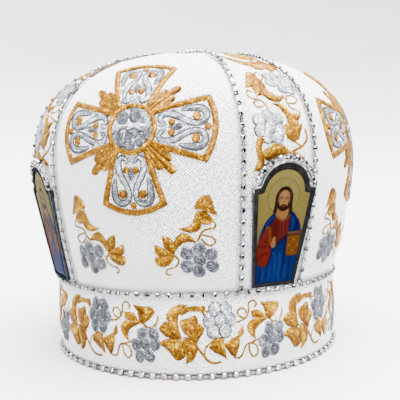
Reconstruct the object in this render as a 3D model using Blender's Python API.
"""A bishop's mitre: a stiff cloth band under a domed crown of four wide and four
narrow cloth panels, with an arched icon plaque on each narrow panel and chains of
set stones on the seams. Metres, +Z up. The origin is the middle of the rim that
it rests on, and the front icon faces -Y."""

import math

import bmesh
import bpy
from mathutils import Vector

# Driving dimensions, in metres
GAP = 0.0003
CLOTH_WALL = 0.003
RIM_RADIUS = 0.098
SEAM_RADIUS = 0.0985
SEAM_HEIGHT = 0.0508
BELLY_RADIUS = 0.1118
BELLY_HEIGHT = 0.126
TOP_HEIGHT = 0.2014

# The crown's outer side: how it draws in below its belly, and how square its shoulder is
LOWER_POWER = 1.55
SHOULDER_POWER = 2.5

# Half the width of a narrow panel at shares of the way up the crown
# share of the way up, half width
NARROW_PANEL = (
    (0.00, 0.0206),
    (0.25, 0.0246),
    (0.50, 0.0232),
    (0.75, 0.0160),
    (1.00, 0.0155),
)
CORNER_RADIUS = 0.012
CORNER_TURNS = (45, 66, 90)

# Facets of the cloth solids
BAND_SIDES = 48
CROWN_ROWS = 8
WIDE_COLUMNS = 8
NARROW_COLUMNS = 3
POLE_RADIUS = 0.009
PROFILE_SAMPLES = 400
FLATTEST_BEND = 1.5

# Icon plaques: a flat plate that leans out as it rises, touching the crown at one point
PLAQUE_FOOT = 0.0545
PLAQUE_LEAN = math.radians(10.8)
PLAQUE_FOOT_HALF = 0.0147
PLAQUE_SHOULDER_HALF = 0.0219
PLAQUE_SHOULDER = 0.0600
ARCH_HALF = 0.0170
ARCH_RISE = 0.0145
ARCH_STEPS = 8
ARCH_START = math.radians(14)
OGEE_HALF = 0.0180
OGEE_RISE = 0.0005
SIDE_STEPS = 4
FRAME_FRONT = 0.0024
FRAME_WIDTH = 0.0028
PLATE_THICKNESS = 0.0019

# Chains of set stones: width across a stone's flats, spacing, heights of girdle and table
RIM_STONE = 0.0038
RIM_STONES = 88
RIM_LIFT = 0.0021
RIM_CLEARANCE = 0.00035
ARCH_STONE = 0.0038
ARCH_STONES = 9
ARCH_CLEARANCE = 0.0004
ARCH_BACK = -0.0002
GIRDLE_SHARE = 0.36
TABLE_SHARE = 0.56
TABLE_WIDTH = 0.62

# Chains of small stones, as plain cords of their outer size
CORD_RADIUS = 0.00165
CORD_CLEARANCE = 0.00045
SEAM_CORD_POINTS = 60
CORD_STEP = 0.0102

QUARTER = math.pi / 2
VIEW_NAMES = ("front", "right", "back", "left")
CORNER_NAMES = ("front_right", "back_right", "back_left", "front_left")


def clear_scene():
    for old in list(bpy.data.objects):
        bpy.data.objects.remove(old, do_unlink=True)


def material(name, colour, roughness, metallic):
    made = bpy.data.materials.new(name)
    made.use_nodes = True
    shader = made.node_tree.nodes["Principled BSDF"]
    shader.inputs["Base Color"].default_value = (*colour, 1)
    shader.inputs["Roughness"].default_value = roughness
    shader.inputs["Metallic"].default_value = metallic
    return made


def between(share, rows):
    """Reads a table of (share, value) rows with a smooth curve through them."""
    last = len(rows) - 1
    row = min(sum(share >= rows[i][0] for i in range(1, last)), last - 1)
    start, end = rows[row], rows[row + 1]
    before = rows[max(row - 1, 0)]
    after = rows[min(row + 2, last)]
    slope_in = (end[1] - before[1]) / (end[0] - before[0])
    slope_out = (after[1] - start[1]) / (after[0] - start[0])
    step = end[0] - start[0]
    x = (share - start[0]) / step
    return (
        (2 * x**3 - 3 * x**2 + 1) * start[1]
        + (x**3 - 2 * x**2 + x) * step * slope_in
        + (3 * x**2 - 2 * x**3) * end[1]
        + (x**3 - x**2) * step * slope_out
    )


class Crown:
    """The crown's outer surface, in distances up from the seam and turns about +Z."""

    def __init__(self):
        self.points = [self.lower(i / PROFILE_SAMPLES) for i in range(PROFILE_SAMPLES)]
        self.points += [self.upper(i / PROFILE_SAMPLES) for i in range(PROFILE_SAMPLES + 1)]
        self.lengths = [0.0]
        for (r0, z0), (r1, z1) in zip(self.points, self.points[1:]):
            self.lengths.append(self.lengths[-1] + math.hypot(r1 - r0, z1 - z0))
        self.length = self.lengths[-1]
        self.bends = self.add_up_bends()
        self.corner = self.find_corner()

    @staticmethod
    def lower(share):
        drawn_in = (BELLY_RADIUS - SEAM_RADIUS) * (1 - share) ** LOWER_POWER
        return BELLY_RADIUS - drawn_in, SEAM_HEIGHT + (BELLY_HEIGHT - SEAM_HEIGHT) * share

    @staticmethod
    def upper(share):
        turn = QUARTER * share
        across = max(math.cos(turn), 0) ** (2 / SHOULDER_POWER)
        rise = math.sin(turn) ** (2 / SHOULDER_POWER)
        return BELLY_RADIUS * across, BELLY_HEIGHT + (TOP_HEIGHT - BELLY_HEIGHT) * rise

    def add_up_bends(self):
        """The square root of the side's curvature, added up from the seam."""
        bends = [0.0]
        last_lean = None
        for (r0, z0), (r1, z1) in zip(self.points, self.points[1:]):
            step = math.hypot(r1 - r0, z1 - z0)
            lean = math.atan2(r0 - r1, z1 - z0)
            turned = abs(lean - last_lean) if last_lean is not None else 0.0
            bends.append(bends[-1] + step * math.sqrt(turned / step + FLATTEST_BEND))
            last_lean = lean
        return bends

    def rows(self, end, count):
        """Distances up to an end, closer where the side bends more, so that facets fit alike."""
        last = sum(length < end for length in self.lengths)
        wanted = [self.bends[last] * i / count for i in range(count)]
        return [self.lengths[sum(bend < value for bend in self.bends)] for value in wanted]

    def side(self, length):
        """(radius, height) and the outward normal's two parts at a distance up the side."""
        low, high = 0, len(self.lengths) - 1
        while high - low > 1:
            middle = (low + high) // 2
            low, high = (middle, high) if self.lengths[middle] <= length else (low, middle)
        (r0, z0), (r1, z1) = self.points[low], self.points[high]
        step = self.lengths[high] - self.lengths[low]
        x = (length - self.lengths[low]) / step
        return r0 + (r1 - r0) * x, z0 + (z1 - z0) * x, (z1 - z0) / step, (r0 - r1) / step

    def point(self, turn, length, lift=0.0):
        radius, height, out, up = self.side(length)
        radius += lift * out
        return Vector((radius * math.sin(turn), -radius * math.cos(turn), height + lift * up))

    def straight_half(self, length, grow):
        """A wide panel's half turn between straight sides, grown by a distance."""
        radius = self.side(length)[0]
        narrow = between(length / self.length, NARROW_PANEL) - grow
        return QUARTER / 2 - math.asin(min(narrow / radius, 1))

    def find_corner(self):
        """The distance up at which a wide panel's two sides would meet in a point."""
        low, high = 0.5 * self.length, 0.99 * self.length
        for _ in range(40):
            middle = (low + high) / 2
            low, high = (middle, high) if self.straight_half(middle, 0) > 0 else (low, middle)
        return low

    def corner_rows(self, grow):
        """The distances up of the rows that round off a wide panel's top corner."""
        centre = self.corner - CORNER_RADIUS * math.sqrt(2)
        reach = CORNER_RADIUS + grow
        return [centre + reach * math.sin(math.radians(turn)) for turn in CORNER_TURNS]

    def wide_half(self, length, grow):
        """A wide panel's half turn at a distance up, with its top corner rounded."""
        half = max(self.straight_half(length, grow), 0)
        centre = self.corner - CORNER_RADIUS * math.sqrt(2)
        if length <= centre:
            return half
        across = math.sqrt(max((CORNER_RADIUS + grow) ** 2 - (length - centre) ** 2, 0))
        return min(half, across / self.side(length)[0])


def mesh_object(name, bm, skin, turn, parent):
    """One object from a bmesh, turned about +Z."""
    mesh = bpy.data.meshes.new(name)
    bm.to_mesh(mesh)
    mesh.materials.append(skin)
    mesh.shade_smooth()
    mesh.set_sharp_from_angle(angle=math.radians(35))
    return place(name, mesh, turn, parent)


def place(name, data, turn, parent):
    made = bpy.data.objects.new(name, data)
    made.rotation_euler.z = turn
    made.parent = parent
    bpy.context.scene.collection.objects.link(made)
    return made


def repeat(names, bm, skin, parent):
    """Four copies of one mesh, a quarter turn apart."""
    first = mesh_object(names[0], bm, skin, 0.0, parent)
    for quarter, name in enumerate(names[1:], start=1):
        place(name, first.data, quarter * QUARTER, parent)


def close_up(bm):
    """Welds the points that a row drawn to a point left double, and turns faces out."""
    bmesh.ops.remove_doubles(bm, verts=bm.verts, dist=GAP / 100)
    bmesh.ops.recalc_face_normals(bm, faces=bm.faces)
    bmesh.ops.triangulate(bm, faces=bm.faces)


def shell(bm, outer, inner):
    """A wall between two grids of points that match row by row."""
    rows, columns = len(outer), len(outer[0])
    out = [[bm.verts.new(point) for point in row] for row in outer]
    back = [[bm.verts.new(point) for point in row] for row in inner]
    for i in range(rows - 1):
        for j in range(columns - 1):
            bm.faces.new((out[i][j], out[i][j + 1], out[i + 1][j + 1], out[i + 1][j]))
            bm.faces.new((back[i][j], back[i + 1][j], back[i + 1][j + 1], back[i][j + 1]))
        for j in (0, -1):
            bm.faces.new((out[i][j], out[i + 1][j], back[i + 1][j], back[i][j]))
    for j in range(columns - 1):
        for i in (0, -1):
            bm.faces.new((out[i][j], back[i][j], back[i][j + 1], out[i][j + 1]))
    close_up(bm)


def crown_panel(crown, middle, rows, half_turn, columns):
    """One cloth panel of the crown, between a row's turns either side of its middle."""
    grids = []
    for lift in (0.0, -CLOTH_WALL):
        grids.append(
            [
                [
                    crown.point(middle + half_turn(row) * (2 * j / columns - 1), row, lift)
                    for j in range(columns + 1)
                ]
                for row in rows
            ]
        )
    bm = bmesh.new()
    shell(bm, *grids)
    return bm


def wide_panel(crown):
    corner = crown.corner_rows(-GAP / 2)
    rows = crown.rows(corner[0], CROWN_ROWS) + corner
    return crown_panel(
        crown, QUARTER / 2, rows, lambda row: crown.wide_half(row, -GAP / 2), WIDE_COLUMNS
    )


def narrow_panel(crown):
    """A panel with an icon, which ends in a mitred point beside the other three at the top."""
    corner = crown.corner_rows(GAP / 2)
    beside_corner = crown.corner_rows(-GAP / 2)[0]
    mitre = GAP / 2

    def half_turn(row):
        radius = crown.side(row)[0]
        beside = math.asin(min(mitre / radius, math.sin(QUARTER / 2)))
        return QUARTER / 2 - max(crown.wide_half(row, GAP / 2), beside)

    pole = crown.length - mitre * math.sqrt(2)
    rows = crown.rows(beside_corner, CROWN_ROWS) + corner
    rows += [crown.length - POLE_RADIUS, pole]
    return crown_panel(crown, 0.0, rows, half_turn, NARROW_COLUMNS)


def band():
    """The straight band, an open ring with a flat rim."""
    top = SEAM_HEIGHT - GAP
    section = (
        (RIM_RADIUS, 0.0),
        (SEAM_RADIUS, top),
        (SEAM_RADIUS - CLOTH_WALL, top),
        (RIM_RADIUS - CLOTH_WALL, 0.0),
    )
    bm = bmesh.new()
    corners = [bm.verts.new((radius, 0, height)) for radius, height in section]
    edges = [bm.edges.new((corners[i - 1], corners[i])) for i in range(len(corners))]
    bmesh.ops.spin(
        bm,
        geom=corners + edges,
        axis=(0, 0, 1),
        cent=(0, 0, 0),
        angle=4 * QUARTER,
        steps=BAND_SIDES,
        use_merge=True,
    )
    close_up(bm)
    return bm


class Plaque:
    """The flat icon plaque on the front panel: across, up and out from its foot."""

    def __init__(self, crown):
        self.up = Vector((0, -math.sin(PLAQUE_LEAN), math.cos(PLAQUE_LEAN)))
        self.out = Vector((0, -math.cos(PLAQUE_LEAN), -math.sin(PLAQUE_LEAN)))
        self.across = Vector((1, 0, 0))
        self.crown = crown
        self.foot = Vector((0, 0, PLAQUE_FOOT))
        steps = [crown.length * i / PROFILE_SAMPLES for i in range(PROFILE_SAMPLES)]
        reach = max(self.out.dot(crown.point(0.0, step) - self.foot) for step in steps)
        self.foot.y -= (reach + GAP) / math.cos(PLAQUE_LEAN)

    def point(self, across, up, out):
        return self.foot + self.across * across + self.up * up + self.out * out

    def cloth(self, across, up):
        """How far out the crown's cloth lies behind a point of the plaque."""
        low, high = -0.02, FRAME_FRONT
        for _ in range(30):
            middle = (low + high) / 2
            place = self.point(across, up, middle)
            low, high = (low, middle) if self.outside(place) else (middle, high)
        return low

    def outside(self, place):
        heights = [height for _, height in self.crown.points]
        if place.z <= SEAM_HEIGHT:
            return math.hypot(place.x, place.y) > SEAM_RADIUS
        index = sum(height < place.z for height in heights)
        return math.hypot(place.x, place.y) > self.crown.points[index][0]

    def outline(self):
        """The plaque's edge, from its right foot up over the arch to its left foot."""
        spread = PLAQUE_SHOULDER_HALF - PLAQUE_FOOT_HALF
        shares = [i / SIDE_STEPS for i in range(SIDE_STEPS + 1)]
        right = [(PLAQUE_FOOT_HALF + spread * x, PLAQUE_SHOULDER * x) for x in shares]
        right.append((OGEE_HALF, PLAQUE_SHOULDER + OGEE_RISE))
        arch = []
        for i in range(ARCH_STEPS + 1):
            turn = ARCH_START + (math.pi - 2 * ARCH_START) * i / ARCH_STEPS
            arch.append((ARCH_HALF * math.cos(turn), PLAQUE_SHOULDER + ARCH_RISE * math.sin(turn)))
        left = [(-across, up) for across, up in reversed(right)]
        return right + arch + left + [(0.0, 0.0)]


def inset(outline, width):
    """The outline moved inwards by a width, each corner along its own bisector."""
    moved = []
    for i, (x, y) in enumerate(outline):
        before = Vector((x, y)) - Vector(outline[i - 1])
        after = Vector(outline[(i + 1) % len(outline)]) - Vector((x, y))
        inward = [Vector((-side.y, side.x)).normalized() for side in (before, after)]
        bisector = (inward[0] + inward[1]).normalized()
        reach = width / bisector.dot(inward[0])
        moved.append((x + bisector.x * reach, y + bisector.y * reach))
    return moved


def icon_frame(plaque):
    """A metal frame whose back edge is scribed to the crown."""
    outer = plaque.outline()
    inner = inset(outer, FRAME_WIDTH)
    rings = []
    for ring in (outer, inner):
        rings.append([plaque.point(x, y, plaque.cloth(x, y) + GAP) for x, y in ring])
        rings.append([plaque.point(x, y, FRAME_FRONT) for x, y in ring])
    back_outer, front_outer, back_inner, front_inner = rings
    bm = bmesh.new()
    section = [
        [bm.verts.new(point) for point in ring]
        for ring in (back_outer, front_outer, front_inner, back_inner)
    ]
    count = len(outer)
    for level in range(4):
        this, other = section[level], section[(level + 1) % 4]
        for i in range(count):
            after = (i + 1) % count
            bm.faces.new((this[i], this[after], other[after], other[i]))
    close_up(bm)
    return bm


def icon_plate(plaque):
    """The picture plate, a slab that fills its frame."""
    edge = inset(plaque.outline(), FRAME_WIDTH + GAP)
    bm = bmesh.new()
    front = [bm.verts.new(plaque.point(x, y, PLATE_THICKNESS)) for x, y in edge]
    back = [bm.verts.new(plaque.point(x, y, 0.0)) for x, y in edge]
    bm.faces.new(front)
    bm.faces.new(reversed(back))
    for i in range(len(edge)):
        after = (i + 1) % len(edge)
        bm.faces.new((front[i], back[i], back[after], front[after]))
    close_up(bm)
    return bm


def stone(bm, seat, along, out, width):
    """An eight-sided cup with a cut stone. Returns its points below and at the girdle."""
    beside = out.cross(along)
    reach = width / 2 / math.cos(math.pi / 8)
    below, girdle = [], []
    for k in range(8):
        turn = math.pi / 8 + k * math.pi / 4
        spoke = along * (reach * math.cos(turn)) + beside * (reach * math.sin(turn))
        below.append(bm.verts.new(seat + spoke))
        girdle.append(bm.verts.new(seat + spoke + out * (GIRDLE_SHARE * width)))
    table = []
    for k in range(4):
        turn = math.pi / 4 + k * math.pi / 2
        spoke = (along * math.cos(turn) + beside * math.sin(turn)) * (TABLE_WIDTH * reach)
        table.append(bm.verts.new(seat + spoke + out * (TABLE_SHARE * width)))
    bm.faces.new(below)
    bm.faces.new(table)
    for k in range(4):
        bm.faces.new((girdle[2 * k], girdle[2 * k + 1], table[k]))
        next_girdle = girdle[(2 * k + 2) % 8]
        bm.faces.new((girdle[2 * k + 1], next_girdle, table[(k + 1) % 4], table[k]))
    for k in (0, 1, 2, 4, 5, 6):
        bm.faces.new((below[k], below[k + 1], girdle[k + 1], girdle[k]))
    return below, girdle


def strand(seats, width, closed):
    """Set stones joined by bars: a cup chain as one body."""
    bm = bmesh.new()
    stones = [stone(bm, *seat, width) for seat in seats]
    pairs = list(zip(stones, stones[1:]))
    if closed:
        pairs.append((stones[-1], stones[0]))
    for (below, girdle), (next_below, next_girdle) in pairs:
        here = (below[7], below[0], girdle[0], girdle[7])
        there = (next_below[4], next_below[3], next_girdle[3], next_girdle[4])
        for i in range(4):
            bm.faces.new((here[i - 1], here[i], there[i], there[i - 1]))
    if not closed:
        for (below, girdle), (first, last) in ((stones[0], (3, 4)), (stones[-1], (7, 0))):
            bm.faces.new((below[first], below[last], girdle[last], girdle[first]))
    close_up(bm)
    return bm


def rim_chain():
    seats = []
    for i in range(RIM_STONES):
        turn = 4 * QUARTER * i / RIM_STONES
        out = Vector((math.sin(turn), -math.cos(turn), 0))
        along = Vector((math.cos(turn), math.sin(turn), 0))
        seats.append((out * (RIM_RADIUS + RIM_CLEARANCE) + Vector((0, 0, RIM_LIFT)), along, out))
    return strand(seats, RIM_STONE, closed=True)


def arch_chain(plaque):
    """Large stones round the outside of a plaque's arch, from shoulder to shoulder."""
    spare = ARCH_STONE / 2 + ARCH_CLEARANCE
    half, rise = ARCH_HALF + spare, ARCH_RISE + spare
    low_turn = math.asin((spare + 3 * OGEE_RISE) / rise)
    path = []
    for i in range(PROFILE_SAMPLES + 1):
        turn = math.pi - low_turn - (math.pi - 2 * low_turn) * i / PROFILE_SAMPLES
        path.append((half * math.cos(turn), PLAQUE_SHOULDER + rise * math.sin(turn)))
    seats = []
    for (x, y), (dx, dy) in even_points(path, ARCH_STONES):
        along = (plaque.across * dx + plaque.up * dy).normalized()
        seats.append((plaque.point(x, y, ARCH_BACK), along, plaque.out))
    return strand(seats, ARCH_STONE, closed=False)


def even_points(path, count):
    """Points an even distance apart along a finely sampled path, each with its direction."""
    lengths = [0.0]
    for start, end in zip(path, path[1:]):
        lengths.append(lengths[-1] + math.dist(start, end))
    found = []
    for i in range(count):
        wanted = lengths[-1] * i / (count - 1)
        index = min(sum(length < wanted for length in lengths), len(path) - 1)
        before = path[max(index - 1, 0)]
        after = path[min(index + 1, len(path) - 1)]
        found.append((path[index], tuple(b - a for a, b in zip(before, after))))
    return found


def cord(name, points, skin, turn, parent, closed=False):
    """A tube through its points, of a chain's outer size."""
    curve = bpy.data.curves.new(name, "CURVE")
    curve.dimensions = "3D"
    curve.bevel_depth = CORD_RADIUS
    curve.bevel_resolution = 2
    curve.use_fill_caps = not closed
    curve.materials.append(skin)
    spline = curve.splines.new("POLY")
    spline.points.add(len(points) - 1)
    spline.use_cyclic_u = closed
    for point, place_of in zip(spline.points, points):
        point.co = (*place_of, 1)
    return place(name, curve, turn, parent)


def seam_chain(skin, parent):
    """The chain in the crease between band and crown."""
    _, _, out, _ = Crown().side(0.0)
    radius = SEAM_RADIUS + (CORD_RADIUS + CORD_CLEARANCE) / out
    points = []
    for i in range(SEAM_CORD_POINTS):
        turn = 4 * QUARTER * i / SEAM_CORD_POINTS
        points.append((radius * math.sin(turn), -radius * math.cos(turn), SEAM_HEIGHT))
    cord("seam_chain", points, skin, 0.0, parent, closed=True)


def panel_chains(crown, skin, parent):
    """The chain round each wide panel, on its seams with the narrow ones."""
    lift = CORD_RADIUS + CORD_CLEARANCE
    start = 2 * CORD_RADIUS
    tip = crown.corner_rows(0.0)[-1]
    path = []
    for i in range(PROFILE_SAMPLES + 1):
        length = start + (tip - start) * math.sin(QUARTER * i / PROFILE_SAMPLES)
        half = crown.wide_half(length, 0.0)
        path.append((half, length))
    side = [crown.point(QUARTER / 2 - half, length, lift) for half, length in path]
    side += [crown.point(QUARTER / 2 + half, length, lift) for half, length in reversed(path)]
    total = sum(math.dist(start, end) for start, end in zip(side, side[1:]))
    points = [point for point, _ in even_points(side, round(total / CORD_STEP) + 1)]
    for quarter, name in enumerate(CORNER_NAMES):
        cord(f"panel_chain_{name}", points, skin, quarter * QUARTER, parent)


def main():
    clear_scene()
    cloth = material("white_cloth", (0.86, 0.86, 0.85), 0.85, 0.0)
    frame_metal = material("dark_metal", (0.11, 0.11, 0.12), 0.30, 1.0)
    picture = material("picture_plate", (0.50, 0.41, 0.20), 0.25, 0.0)
    silver = material("silver_stones", (0.80, 0.81, 0.83), 0.20, 1.0)

    mitre = bpy.data.objects.new("mitre", None)
    bpy.context.scene.collection.objects.link(mitre)
    crown = Crown()
    plaque = Plaque(crown)
    mesh_object("band", band(), cloth, 0.0, mitre)
    repeat([f"cross_panel_{name}" for name in CORNER_NAMES], wide_panel(crown), cloth, mitre)
    repeat([f"icon_panel_{name}" for name in VIEW_NAMES], narrow_panel(crown), cloth, mitre)
    repeat([f"icon_frame_{name}" for name in VIEW_NAMES], icon_frame(plaque), frame_metal, mitre)
    repeat([f"icon_plate_{name}" for name in VIEW_NAMES], icon_plate(plaque), picture, mitre)
    repeat([f"arch_chain_{name}" for name in VIEW_NAMES], arch_chain(plaque), silver, mitre)
    mesh_object("rim_chain", rim_chain(), silver, 0.0, mitre)
    seam_chain(silver, mitre)
    panel_chains(crown, silver, mitre)


main()
